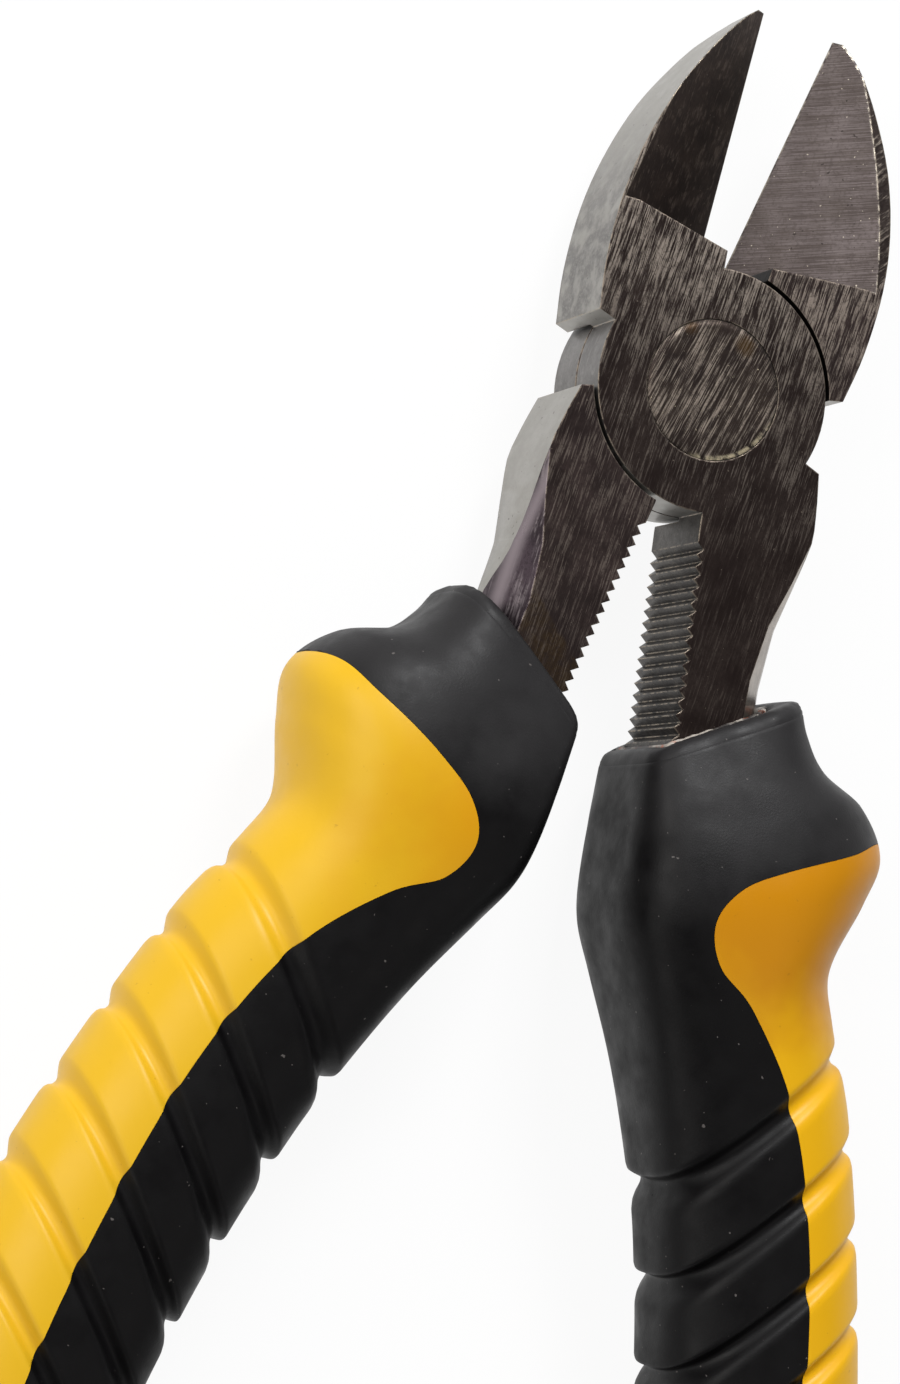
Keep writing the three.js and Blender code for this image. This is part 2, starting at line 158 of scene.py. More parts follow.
def floor_material():
    material = bpy.data.materials.new("pale_floor")
    material.use_nodes = True
    tree = material.node_tree
    tree.nodes.clear()
    share = times(tree, seen_directly(tree), FLOOR_WHITE)
    paint = add(tree, "ShaderNodeBsdfDiffuse", {"Color": FLOOR_COLOUR})
    glow = add(tree, "ShaderNodeEmission", {"Color": WHITE, "Strength": 1.0})
    mix = add(tree, "ShaderNodeMixShader", {"Fac": share, 1: paint.outputs[0], 2: glow.outputs[0]})
    out = add(tree, "ShaderNodeOutputMaterial")
    tree.links.new(mix.outputs[0], out.inputs["Surface"])
    return material


def make_floor():
    """A floor with a low backdrop round it."""
    low = cad_box[0][2]
    reach = FLOOR_REACH
    corners = [(-reach, -reach), (reach, -reach), (reach, reach), (-reach, reach)]
    points = [(x, y, z) for z in (low, low + BACKDROP_HEIGHT) for x, y in corners]
    walls = [(i, i + 4, (i + 1) % 4 + 4, (i + 1) % 4) for i in range(4)]
    mesh = bpy.data.meshes.new("floor")
    mesh.from_pydata(points, [], [(0, 1, 2, 3)] + walls)
    mesh.materials.append(floor_material())
    floor = bpy.data.objects.new("floor", mesh)
    bpy.context.scene.collection.objects.link(floor)


# Materials: colours as hex codes, sizes in mm, patterns in counts per mm

NOISE_RANGE = (0.3, 0.7)
CLOUD_SHIFT = 20.0
UPWARD = (0, 1)
RIGHTWARD = (1, 0)
LEAN = math.radians(-4)
STEEL_METAL = 0.85
PIT = "221d1a"
WEAR_RANGE = (-30.0, 40.0)


def new_material(name, fixed):
    """A material with one Principled shader, and the object's coordinates in mm."""
    material = bpy.data.materials.new(name)
    material.use_nodes = True
    tree = material.node_tree
    tree.nodes.clear()
    bsdf = add(tree, "ShaderNodeBsdfPrincipled", fixed)
    out = add(tree, "ShaderNodeOutputMaterial")
    tree.links.new(bsdf.outputs[0], out.inputs["Surface"])
    place = add(tree, "ShaderNodeTexCoord").outputs["Object"]
    point = add(tree, "ShaderNodeMapping", {"Vector": place, "Scale": (1000, 1000, 1000)})
    return material, tree, bsdf, point.outputs[0]


def stretched(tree, point, turn, counts):
    """Coordinates turned in the plan and then scaled across, along and through."""
    mapping = add(tree, "ShaderNodeMapping", {"Vector": point, "Rotation": (0, 0, turn),
                                              "Scale": tuple(1 / count for count in counts)})
    mapping.vector_type = "TEXTURE"
    return mapping.outputs[0]


def noise(tree, point, scale, detail=3.0, rough=0.55):
    node = add(tree, "ShaderNodeTexNoise", {"Vector": point, "Scale": scale, "Detail": detail,
                                            "Roughness": rough})
    return node.outputs["Fac"]


def ramp(tree, value, low, high):
    """Smooth step from 0 at low to 1 at high."""
    node = add(tree, "ShaderNodeMapRange", {"Value": value, "From Min": low, "From Max": high})
    node.interpolation_type = "SMOOTHSTEP"
    return node.outputs["Result"]


def linear(code):
    """Linear colour of a hex code."""
    values = [int(code[i:i + 2], 16) / 255 for i in (0, 2, 4)]
    return tuple(v / 12.92 if v <= 0.04045 else ((v + 0.055) / 1.055) ** 2.4 for v in values)


def mixed(tree, share, first, second):
    """First colour going over to the second; each is a hex code or a node's output."""
    node = add(tree, "ShaderNodeMix", {"Factor": share}, data_type="RGBA")
    for socket, value in ((node.inputs[6], first), (node.inputs[7], second)):
        if isinstance(value, bpy.types.NodeSocket):
            tree.links.new(value, socket)
        else:
            socket.default_value = (*linear(value), 1.0)
    return node.outputs[2]


def plan_height(tree, point, direction):
    """Distance of a point along a plan direction."""
    node = add(tree, "ShaderNodeVectorMath", {0: point, 1: (*direction, 0)}, operation="DOT_PRODUCT")
    return node.outputs["Value"]


def cloudy_ramp(tree, point, cloud, direction, start, end):
    """Smooth step along a plan direction, moved to and fro by a cloud."""
    height = plus(tree, plan_height(tree, point, direction), times(tree, cloud, CLOUD_SHIFT))
    return ramp(tree, height, start + CLOUD_SHIFT / 2, end + CLOUD_SHIFT / 2)


def graph(tree, value, span, stops):
    """Value looked up on a line of (place, level) stops between the ends of span."""
    low, high = span
    share = add(tree, "ShaderNodeMapRange", {"Value": value, "From Min": low, "From Max": high})
    node = add(tree, "ShaderNodeValToRGB", {"Fac": share.outputs[0]})
    points = node.color_ramp.elements
    while len(points) < len(stops):
        points.new(0.5)
    for point, (place, level) in zip(points, stops):
        point.position = (place - low) / (high - low)
        point.color = (level, level, level, 1)
    return node.outputs["Color"]


def rounded_edges(tree, radius):
    """Rounded normal near sharp edges, and how near an edge a point is."""
    rounded = add(tree, "ShaderNodeBevel", {"Radius": radius}, samples=6)
    plain = add(tree, "ShaderNodeNewGeometry")
    near = add(tree, "ShaderNodeVectorMath", {0: rounded.outputs[0], 1: plain.outputs["Normal"]},
               operation="DOT_PRODUCT")
    return rounded.outputs[0], ramp(tree, near.outputs["Value"], 0.995, 0.93)


def bump(tree, bsdf, heights, strength, depth, normal=None):
    inputs = {"Height": heights, "Strength": strength, "Distance": depth * MM}
    if normal:
        inputs["Normal"] = normal
    node = add(tree, "ShaderNodeBump", inputs)
    tree.links.new(node.outputs[0], bsdf.inputs["Normal"])


def roughen(tree, bsdf, value, low, high):
    """Roughness from low to high over the usual range of a noise."""
    level = add(tree, "ShaderNodeMapRange", {"Value": value, "From Min": NOISE_RANGE[0],
                                             "From Max": NOISE_RANGE[1], "To Min": low, "To Max": high})
    tree.links.new(level.outputs[0], bsdf.inputs["Roughness"])


def scratches(tree, point, turn, across, along, through):
    """Coarse scratches along one plan direction, with finer ones at a small angle to them."""
    coarse = noise(tree, stretched(tree, point, turn, (across, along, through)), 1.0, rough=0.6)
    finer = (across * 2.7, along * 1.8, through)
    fine = noise(tree, stretched(tree, point, turn + 0.06, finer), 1.0, detail=2.0, rough=0.6)
    return plus(tree, times(tree, coarse, 0.55), times(tree, fine, 0.45))


def tinted(tree, point, shade, colour, direction, start, end):
    """Shade that goes over to a colour unevenly along a plan direction."""
    band = ramp(tree, plan_height(tree, point, direction), start, end)
    uneven = ramp(tree, noise(tree, point, 0.5), 0.3, 0.6)
    return mixed(tree, times(tree, band, uneven), shade, colour)


def painted_highlight_line(tree, point, shade, colour, direction, place, width):
    """Shade with a soft line of a colour at a place along a plan direction: a painted highlight streak."""
    beyond = math_node(tree, "SUBTRACT", plan_height(tree, point, direction), place)
    away = math_node(tree, "ABSOLUTE", beyond, 0.0)
    return mixed(tree, ramp(tree, away, width, 0.0), shade, colour)


def stained(tree, point, shade, colour, centre, radius, strength):
    """Shade with a ragged stain of a colour."""
    away = add(tree, "ShaderNodeVectorMath", {0: point, 1: centre}, operation="DISTANCE")
    ragged = plus(tree, away.outputs["Value"], times(tree, noise(tree, point, 0.9, detail=4.0), radius))
    spread = ramp(tree, ragged, 2.0 * radius, 0.8 * radius)
    return mixed(tree, times(tree, spread, strength), shade, colour)


def steel(name, dark, mid, scratch, turn=LEAN, across=2.2, along=0.5, through=None, amount=0.5,
          cut=(0.5, 0.66), rough=0.4, depth=0.03, pits=0.0, edge="a99c8b", edge_width=0.22,
          wear=None, tint=None, line=None, stains=(), glint_side=None):
    """Worn tool steel: two blotchy shades, lighter scratches along one direction, dark grain and
    pits, and brighter edges, partly wear and partly painted highlight. wear makes the scratches depend
    on the height along the tool, and a side, when given, keeps the bright edges to one side of the part as
    a painted glint."""
    material, tree, bsdf, point = new_material(name, {"Metallic": STEEL_METAL})
    normal, near_edge = rounded_edges(tree, edge_width * MM)
    blotch = ramp(tree, noise(tree, point, 0.25, detail=5.0, rough=0.65), 0.36, 0.66)
    shade = mixed(tree, blotch, dark, mid)
    if tint:
        shade = tinted(tree, point, shade, *tint)
    streak = scratches(tree, point, turn, across, along, through or across)
    patch = math_node(tree, "SUBTRACT", noise(tree, point, 0.35), 0.5)
    level = plus(tree, streak, times(tree, patch, 0.22))
    if wear:
        amount = graph(tree, plan_height(tree, point, UPWARD), WEAR_RANGE, wear)
        level = plus(tree, level, times(tree, amount, 0.07))
    shade = mixed(tree, times(tree, ramp(tree, level, *cut), amount), shade, scratch)
    grain = ramp(tree, noise(tree, point, 3.4, detail=2.0, rough=0.6), 0.5, 0.36)
    shade = mixed(tree, times(tree, grain, 0.45), shade, dark)
    # An optional soft lighter line across the part: painted highlight.
    if line:
        shade = painted_highlight_line(tree, point, shade, *line)
    if pits:
        hole = ramp(tree, noise(tree, point, 2.2, detail=1.0), 0.735, 0.76)
        shade = mixed(tree, times(tree, hole, pits), shade, PIT)
    speck = ramp(tree, noise(tree, point, 3.1, detail=1.0), 0.76, 0.79)
    shade = mixed(tree, times(tree, speck, 0.5), shade, edge)
    for stain in stains:
        shade = stained(tree, point, shade, *stain)
    # Brighter edges: partly wear, partly painted highlight. A side, when given, keeps them to one side of
    # the part as a painted glint.
    broken = ramp(tree, noise(tree, point, 1.4), 0.38, 0.6)
    if glint_side:
        direction, start, end = glint_side
        broken = times(tree, broken, ramp(tree, plan_height(tree, point, direction), start, end))
    shade = mixed(tree, times(tree, near_edge, broken), shade, edge)
    tree.links.new(shade, bsdf.inputs["Base Color"])
    roughen(tree, bsdf, streak, rough - 0.07, rough + 0.1)
    bump(tree, bsdf, streak, 0.8, depth, normal)
    return material


def rubber(name):
    """Soft black rubber, greyer towards the mouth of the grip, partly a dusty film and partly painted
    sheen, with specks of dust.
    """
    material, tree, bsdf, point = new_material(name, {"Metallic": 0.0, "Specular IOR Level": 0.17})
    cloud = noise(tree, point, 0.12)
    shade = mixed(tree, cloud, "040304", "090809")
    # Greyer towards the mouth: a dusty film and a painted sheen on the guard.
    dust_and_sheen = cloudy_ramp(tree, point, cloud, UPWARD, -48.0, -32.0)
    shade = mixed(tree, dust_and_sheen, shade, "252425")
    dust = ramp(tree, noise(tree, point, 1.9, detail=1.0), 0.765, 0.8)
    shade = mixed(tree, times(tree, dust, 0.32), shade, "8d8784")
    tree.links.new(shade, bsdf.inputs["Base Color"])
    roughen(tree, bsdf, noise(tree, point, 0.35, detail=4.0), 0.38, 0.58)
    bump(tree, bsdf, noise(tree, point, 5.0), 0.35, 0.04)
    return material


def plastic(name, dark, light, direction, start, end):
    """Hard plastic with painted shade: dark before start and light past end along a plan direction."""
    material, tree, bsdf, point = new_material(name, {"Metallic": 0.0, "Specular IOR Level": 0.25})
    painted_lighter = cloudy_ramp(tree, point, noise(tree, point, 0.1), direction, start, end)
    shade = mixed(tree, painted_lighter, dark, light)
    grime = ramp(tree, noise(tree, point, 1.5, detail=2.0), 0.72, 0.78)
    shade = mixed(tree, times(tree, grime, 0.3), shade, "8a5a10")
    tree.links.new(shade, bsdf.inputs["Base Color"])
    roughen(tree, bsdf, noise(tree, point, 0.4, detail=4.0), 0.36, 0.46)
    bump(tree, bsdf, noise(tree, point, 4.0), 0.25, 0.03)
    return material


def sleeve(name):
    """The insert's thin plastic sleeve at the mouth of a grip: dull, in patches of painted highlight
    (whitish) and painted shade (dark and orange).
    """
    material, tree, bsdf, point = new_material(name, {"Metallic": 0.0, "Roughness": 0.5})
    whitish = ramp(tree, noise(tree, point, 0.45), 0.42, 0.6)
    shade = mixed(tree, whitish, "2a2523", "a79f96")
    orange = ramp(tree, noise(tree, point, 0.6, detail=2.0), 0.55, 0.68)
    shade = mixed(tree, orange, shade, "b5531c")
    tree.links.new(shade, bsdf.inputs["Base Color"])
    bump(tree, bsdf, noise(tree, point, 2.5), 0.5, 0.05)
    return material


# Pieces

JOIN_WITHIN = 2e-7
SHARP_STEEL = 30
SHARP_RIVET = 22
SHARP_GRIP = 60


def copied(node):
    """The CAD node's mesh as a joined bmesh."""
    bm = bmesh.new()
    bm.from_mesh(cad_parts[node].data)
    bmesh.ops.remove_doubles(bm, verts=bm.verts, dist=JOIN_WITHIN)
    return bm


def baked(obj):
    """Applies the object's modifiers to its own mesh."""
    graph_now = bpy.context.evaluated_depsgraph_get()
    mesh = bpy.data.meshes.new_from_object(obj.evaluated_get(graph_now))
    old = obj.data
    obj.modifiers.clear()
    obj.data = mesh
    bpy.data.meshes.remove(old)


def new_object(name, bm):
    mesh = bpy.data.meshes.new(name)
    bm.to_mesh(mesh)
    bm.free()
    if mesh.has_custom_normals:
        mesh.attributes.remove(mesh.attributes["custom_normal"])
    obj = bpy.data.objects.new(name, mesh)
    bpy.context.scene.collection.objects.link(obj)
    return obj


def smooth(obj, degrees):
    """Smooth shading, apart from edges sharper than an angle."""
    obj.data.shade_smooth()
    obj.data.set_sharp_from_angle(angle=math.radians(degrees))


def settle(obj, node, body):
    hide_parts(node)
    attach(obj, body)


# Steel halves: where each finish lies, in mm in the half's own closed frame, with its jaw on the left

FINISHES = ["ground", "bevel", "rim", "wall", "cheek", "hub", "recess_shade", "facet", "teeth"]
RIM_FOOT = 12.0
JAW_FOOT = 5.0
SLOT_X = (-3.0, 0.0)
SLOT_Y = (9.0, 15.0)
HUB_REACH = 12.0
HUB_FOOT = -9.0
FACET_TOP = -8.0
TEETH_TOP = -11.0
NECK_MIDDLE = 5.0
BELOW_FACE = 0.02


def finish_of(normal, place):
    """Which finish a face has, from its normal and its middle."""
    if normal.z > 0.9 and place.z < JOINT_FRONT - BELOW_FACE and place.y > RIM_FOOT:
        return "rim"
    if abs(normal.z) > 0.985:
        return "ground"
    if normal.x < -0.4 and place.y < TEETH_TOP and 0 < place.x < NECK_MIDDLE:
        return "teeth"
    if normal.z > 0.25 and place.y > JAW_FOOT:
        return "bevel"
    if normal.z > 0.12 and place.y < FACET_TOP and place.x > NECK_MIDDLE:
        return "facet"
    # Slot walls and inward-facing walls round the hub take a near-black finish: painted shade in the
    # recesses.
    if normal.x > 0.5 and SLOT_X[0] < place.x < SLOT_X[1] and SLOT_Y[0] < place.y < SLOT_Y[1]:
        return "recess_shade"
    radius = math.hypot(place.x, place.y)
    outward = (normal.x * place.x + normal.y * place.y) / radius
    if radius < HUB_REACH and place.y > HUB_FOOT and abs(outward) > 0.9:
        return "hub" if outward > 0 else "recess_shade"
    return "cheek" if place.y > JAW_FOOT else "wall"


def steel_half(node, body, materials, side):
    """side is 1 for the half whose jaw is on the left, -1 for the other one."""
    bm = copied(node)
    bm.normal_update()
    turn = Matrix.Rotation(-side * HALF_OPENING, 3, "Z")
    for face in bm.faces:
        normal = turn @ face.normal
        place = (turn @ face.calc_center_median()) / MM
        normal.x *= side
        place.x *= side
        face.material_index = FINISHES.index(finish_of(normal, place))
    obj = new_object(node + "_steel", bm)
    for finish in FINISHES:
        obj.data.materials.append(materials[finish])
    smooth(obj, SHARP_STEEL)
    settle(obj, node, body)


def make_halves():
    front_wear = [(-30, 0.1), (-14, 0.12), (-9, 0.25), (-2, 0.4), (4, 0.55), (9, 0.9), (13, 1.0), (40, 1.0)]
    back_wear = [(-30, 0.2), (-14, 0.35), (-6, 0.4), (4, 0.6), (9, 0.9), (13, 1.0), (40, 1.0)]
    ground_look = {"across": 6.4, "along": 0.3, "cut": (0.52, 0.63), "rough": 0.42, "depth": 0.05,
                   "edge": "8f8376"}
    wall_look = {"across": 0.5, "along": 0.5, "amount": 0.3, "depth": 0.01, "pits": 0.6}
    shared = {
        "rim": steel("steel_rim", "231c1a", "3a322f", "8d8379", turn=math.radians(-40), across=3.0,
                     amount=0.7, depth=0.04),
        "wall": steel("steel_wall", "98958f", "a3a09b", "b4b1ad", **wall_look),
        # The jaw's side walls turn darker towards the heel: painted shade.
        "cheek": steel("steel_cheek_painted_shade", "98958f", "a3a09b", "b4b1ad", **wall_look,
                       tint=("6f6c69", UPWARD, 27.0, 9.0)),
        "hub": steel("steel_hub", "625f5d", "7b7876", "a09d9b", across=2.5, amount=0.4, depth=0.02,
                     pits=0.5),
        # Near-black walls in the recesses and the slot by the hub: painted shade.
        "recess_shade": steel("steel_recess_shade", "1a1614", "241e1b", "3a3330", across=2.0, amount=0.2, rough=0.5,
                     depth=0.02, edge="2c2622"),
        "teeth": steel("steel_teeth", "3c3835", "5c5854", "8a857e", turn=math.radians(90), across=2.0,
                       along=0.4, amount=0.4, rough=0.42, tint=("2b2725", UPWARD, -17.0, -29.0)),
    }
    front = {
        "ground": steel("steel_ground", "281f1d", "352c29", "988d83", **ground_look, wear=front_wear),
        "bevel": steel("steel_bevel_dark", "2e2522", "3d322d", "796c63", along=0.6, through=0.6,
                       amount=0.45, rough=0.48, pits=0.5),
        # The right neck's facet is painted pale cream: a painted reflection.
        "facet": steel("steel_facet_painted_reflection", "857c74", "a59c92", "d0c8bc", along=0.14, rough=0.32,
                       depth=0.02),
    }
    back = {
        "ground": steel("steel_ground_back", "2f2625", "413634", "95897f", **ground_look, wear=back_wear,
                        tint=("3a2d20", (0.65, 0.76), -24.6, -25.1)),
        # The right jaw's bevel has a wide near-white edge along its ridge: painted highlight over the worn
        # edge.
        "bevel": steel("steel_bevel_grey", "3d3634", "453e3b", "686060", turn=math.radians(-74),
                       across=12.0, along=0.12, through=0.05, amount=0.9, cut=(0.42, 0.62), rough=0.42,
                       depth=0.02, pits=0.8, edge="e6dccb", edge_width=0.32),
        # The left neck's facet gets a lighter streak down its middle: painted highlight.
        "facet": steel("steel_facet", "2f272b", "4a3f45", "a3989a", along=0.14, rough=0.3, edge="7d7371",
                       line=("857a7e", (0.999, -0.035), -12.6, 0.7)),
    }
    steel_half("front_half", "front_arm", shared | front, 1)
    steel_half("back_half", "back_arm", shared | back, -1)


def make_rivet():
    stains = [("4a3515", (1.9, 5.0, JOINT_FRONT), 0.9, 0.7),
              ("43301a", (-3.7, 4.8, JOINT_FRONT), 0.7, 0.6)]
    # The pale gold edge kept to the rim's lower right is a painted glint.
    disc = steel("steel_rivet", "2c2422", "3b322d", "968a7f", turn=math.radians(-14), across=5.4, along=0.2,
                 amount=1.0, cut=(0.48, 0.61), rough=0.42, depth=0.06, edge="fff0cc", edge_width=0.9,
                 stains=stains, glint_side=((0.62, -0.78), 4.4, 5.6))
    obj = new_object("pivot_rivet_steel", copied("pivot_rivet"))
    obj.data.materials.append(disc)
    smooth(obj, SHARP_RIVET)
    settle(obj, "pivot_rivet", "front_arm")


# Grips: the right one in its arm's own closed frame, in mm. Lines are (value, height) points.

GRIP_OUTER = [(15, -26), (16.2, -29), (18.6, -32), (22.9, -34.2), (25.9, -38.5), (25, -43), (22.7, -49.5),
              (23.9, -54), (27.2, -62), (31.4, -78), (34.3, -94), (35.3, -110), (34.6, -126), (33.2, -140)]
GRIP_INNER = [(0.15, -30), (0.12, -38), (0.15, -46), (0.7, -50), (2.3, -54), (5.65, -62), (8.35, -70),
              (10.6, -78), (13, -90), (14.6, -104), (15.1, -116), (14.8, -130), (14, -142)]
GRIP_THICKNESS = [(8, -26), (8.9, -30), (10.5, -36), (11.2, -41), (10.7, -46), (9.4, -52), (8.7, -60),
                  (8.7, -112), (8.2, -134)]
GRIP_SLANT = [(8.2, -26), (7.4, -38), (9.5, -47), (16.4, -57), (16.4, -112), (12, -122), (6.5, -134)]
GRIP_FORWARD = [(0.1, -26), (0.7, -36), (1, -48), (1.5, -60), (1.5, -134)]
INNER_SQUARENESS = [(6.5, -26), (5.5, -32), (4.4, -40), (3.4, -48), (2.8, -60), (2.8, -134)]
OUTER_SQUARENESS = [(3.4, -26), (2.4, -36), (2.2, -48), (2.2, -134)]
INSERT_LINE = [(1.15, -37.9), (0.95, -37.6), (0.77, -39.6), (0.53, -42.5), (0.375, -45), (0.303, -48.4),
               (0.325, -52.2), (0.455, -55.4), (0.57, -62), (0.617, -70.5), (0.61, -82), (0.576, -98),
               (0.56, -114), (0.62, -126), (0.82, -132), (1.15, -134)]
INSERT_TOP = -37.5
SLEEVE_ABOVE = 0.3
MOUTH = -25.6
MOUTH_ROUND = 0.9
GRIP_END = -134.0
GRIP_MIDDLE = np.array([0, 0, JOINT_FRONT / 2])

# Share of a turn and share of the depth along one rib
RIB = [(0, 0), (0.05, 0.4), (0.12, 0.94), (0.18, 1), (0.25, 0.78), (0.33, 0.18), (0.42, 0.02), (1, 0)]
RIB_START = -55.6
RIB_PITCH = 7.8
RIBS = 8
RIB_DEPTH = 0.95
OUTER_RIB = 0.65
RIB_BLUR = 6

SECTIONS = 2400
HALVINGS = 24
SEAM_STEPS = 40
SEAM_BATCH = 4000
SKIN_COLUMNS = 192
SKIN_ROW_STEP = 6
SKIN_END_ROWS = 8
SKIN_TUCK = 0.985
SKIN = 0.3
UNDER_SKIN = 0.12
SINK_ROWS = 30
FIT_END_ROWS = 2
FIT_REACH = 0.62
FIT_FADE = 0.3
SEAM_EDGE = 0.02
SEAM_DEPTH = 2.2
SEAM_TOP = -34.0
SEAM_REACH = 0.8
VOXEL = 0.42
RELAX = 0.5
RELAX_STEPS = 3
TINY = 1e-6


def along(line, heights):
    """Smooth values at heights along a line of (value, height) points that run downwards."""
    values = np.array([point[0] for point in line], float)
    places = np.array([point[1] for point in line], float)
    slopes = np.empty(len(values))
    slopes[1:-1] = (values[2:] - values[:-2]) / (places[2:] - places[:-2])
    slopes[0] = (values[1] - values[0]) / (places[1] - places[0])
    slopes[-1] = (values[-1] - values[-2]) / (places[-1] - places[-2])
    index = np.clip(np.searchsorted(-places, -heights, side="right") - 1, 0, len(values) - 2)
    span = places[index + 1] - places[index]
    t = np.clip((heights - places[index]) / span, 0, 1)
    s = 1 - t
    ends = values[index] * (1 + 2 * t) * s * s + values[index + 1] * (3 - 2 * t) * t * t
    return ends + (slopes[index] * t * s * s - slopes[index + 1] * t * t * s) * span


def rib_insets(height):
    """How deep the ribs' grooves are at heights of the outer edge."""
    turn = (RIB_START - height) / RIB_PITCH
    ribbed = (turn >= 0) & (turn < RIBS)
    profile = np.interp(turn % 1, [share for share, _ in RIB], [depth for _, depth in RIB])
    kernel = np.hanning(2 * RIB_BLUR + 1)
    padded = np.pad(np.where(ribbed, profile, 0) * RIB_DEPTH, RIB_BLUR, mode="edge")
    return np.convolve(padded, kernel / kernel.sum(), mode="valid")


def grip_sections():
    """Measures of the grip's leaning sections, from the mouth to the end."""
    height = np.linspace(MOUTH - MOUTH_ROUND, GRIP_END, SECTIONS)
    inner_height = height - along(GRIP_SLANT, height)
    inset = rib_insets(height)
    return {
        "height": height,
        "inner_height": inner_height,
        "outer": along(GRIP_OUTER, height),
        "inner": along(GRIP_INNER, inner_height),
        "inset": inset,
        "rise": along(GRIP_THICKNESS, height) - inset,
        "forward": along(GRIP_FORWARD, height),
        "inner_power": along(INNER_SQUARENESS, height),
        "outer_power": along(OUTER_SQUARENESS, height),
    }


def at_places(sections, places):
    """The sections' measures at places counted in sections from the mouth."""
    steps = np.arange(SECTIONS)
    return {name: np.interp(places, steps, values) for name, values in sections.items()}


def grip_axis(part):
    """Plan middle of the sections, their half run, half rise and half width."""
    run = (part["outer"] - part["inner"]) / 2
    rise = (part["height"] - part["inner_height"]) / 2
    middle_x = (part["outer"] + part["inner"]) / 2
    middle_y = (part["height"] + part["inner_height"]) / 2
    return middle_x, middle_y, run, rise, np.hypot(run, rise)


def ribbed_half(part, outer, run, width):
    """Half width of the sections less the ribs' grooves, on the outer or the inner side."""
    return width - np.where(outer, OUTER_RIB, 1) * part["inset"] * width / run


def seam_line():
    """Plan points along the edge of the hard insert."""
    share = np.array([point[0] for point in INSERT_LINE])
    height = np.array([point[1] for point in INSERT_LINE], float)
    inner = along(GRIP_INNER, height)
    knots = np.column_stack([inner + (along(GRIP_OUTER, height) - inner) * share, height])
    padded = np.vstack([knots[:1], knots, knots[-1:]])
    t = np.linspace(0, 1, SEAM_STEPS, endpoint=False)[:, None]
    parts = []
    for p0, p1, p2, p3 in zip(padded, padded[1:], padded[2:], padded[3:]):
        parts.append((2 * p1 + (p2 - p0) * t + (2 * p0 - 5 * p1 + 4 * p2 - p3) * t ** 2
                      + (3 * p1 - p0 - 3 * p2 + p3) * t ** 3) / 2)
    return np.vstack(parts)


def seam_offsets(points, seam):
    """How far inside the seam each point lies in the plan, and the direction of that distance."""
    way = np.gradient(seam, axis=0)
    way /= np.linalg.norm(way, axis=1)[:, None]
    left = np.column_stack([-way[:, 1], way[:, 0]])
    index = np.empty(len(points), int)
    for some in np.array_split(np.arange(len(points)), max(1, len(points) // SEAM_BATCH)):
        index[some] = ((points[some, None, :2] - seam[None]) ** 2).sum(2).argmin(1)
    return ((points[:, :2] - seam[index]) * left[index]).sum(1), left[index]


def section_places(x, y, sections):
    """Place of the section that each plan point lies on, by halving."""
    low = np.zeros(len(x))
    high = np.full(len(x), SECTIONS - 1.0)
    for _ in range(HALVINGS):
        middle = (low + high) / 2
        part = at_places(sections, middle)
        run = part["outer"] - part["inner"]
        rise = part["height"] - part["inner_height"]
        above = (y - part["inner_height"]) * run > (x - part["inner"]) * rise
        high = np.where(above, middle, high)
        low = np.where(above, low, middle)
    return (low + high) / 2


def fit_to_grip(points, sections):
    """Moves points that lie near the grip's faceted skin a little under its smooth skin, and says how
    deep they lie."""
    x, y, z = points.T
    place = section_places(x, y, sections)
    part = at_places(sections, place)
    middle_x, middle_y, run, rise, width = grip_axis(part)
    reach = ((x - middle_x) * run + (y - middle_y) * rise) / width
    half = ribbed_half(part, reach > 0, run, width)
    u = reach / half
    v = (z - part["forward"]) / part["rise"]
    power = np.where(u < 0, part["inner_power"], part["outer_power"])
    radius = np.maximum((np.abs(u) ** power + np.abs(v) ** power) ** (1 / power), TINY)
    length = np.hypot(u * half, v * part["rise"])
    away = np.abs(1 - 1 / radius) * length
    inside = (place > FIT_END_ROWS) & (place < SECTIONS - 1 - FIT_END_ROWS)
    share = np.clip((FIT_REACH - away) / FIT_FADE, 0, 1)
    share = np.where(inside, share * share * (3 - 2 * share), 0)
    sink = UNDER_SKIN * np.clip(np.minimum(place, SECTIONS - 1 - place) / SINK_ROWS, 0, 1)
    scale = 1 + share * ((1 - sink / np.maximum(length / radius, 1)) / radius - 1)
    across = u * scale * half
    moved = np.column_stack([middle_x + across * run / width, middle_y + across * rise / width,
                             part["forward"] + v * scale * part["rise"]])
    return np.where(inside[:, None], moved, points), np.where(inside, away * (1 - share), np.inf)


def grip_skin(sections):
    """Points of the grip's smooth skin, each with the point below it on the skin's inner side, and the
    triangles. Both ends are tucked in a little."""
    rows = np.arange(SKIN_END_ROWS, SECTIONS - SKIN_END_ROWS, SKIN_ROW_STEP)
    part = {name: values[rows][:, None] for name, values in sections.items()}
    middle_x, middle_y, run, rise, width = grip_axis(part)
    angle = np.arange(SKIN_COLUMNS) * 2 * np.pi / SKIN_COLUMNS
    c, s = np.cos(angle)[None], np.sin(angle)[None]
    half = ribbed_half(part, c > 0, run, width)
    power = np.where(c < 0, part["inner_power"], part["outer_power"])
    radius = (np.abs(c) ** power + np.abs(s) ** power) ** (-1 / power)
    radius[[0, -1]] *= SKIN_TUCK
    sheets = []
    for depth in (0, SKIN):
        deeper = radius * (1 - depth / np.hypot(c * radius * half, s * radius * part["rise"]))
        across = c * deeper * half
        sheets += [middle_x + across * run / width, middle_y + across * rise / width,
                   part["forward"] + s * deeper * part["rise"]]
    points = np.stack(sheets, axis=2).reshape(-1, 6)
    first = np.arange((len(rows) - 1) * SKIN_COLUMNS)
    beside = first - first % SKIN_COLUMNS + (first + 1) % SKIN_COLUMNS
    below = first + SKIN_COLUMNS
    triangles = np.concatenate([np.column_stack([first, below, beside]),
                                np.column_stack([beside, below, beside + SKIN_COLUMNS])])
    return points, triangles


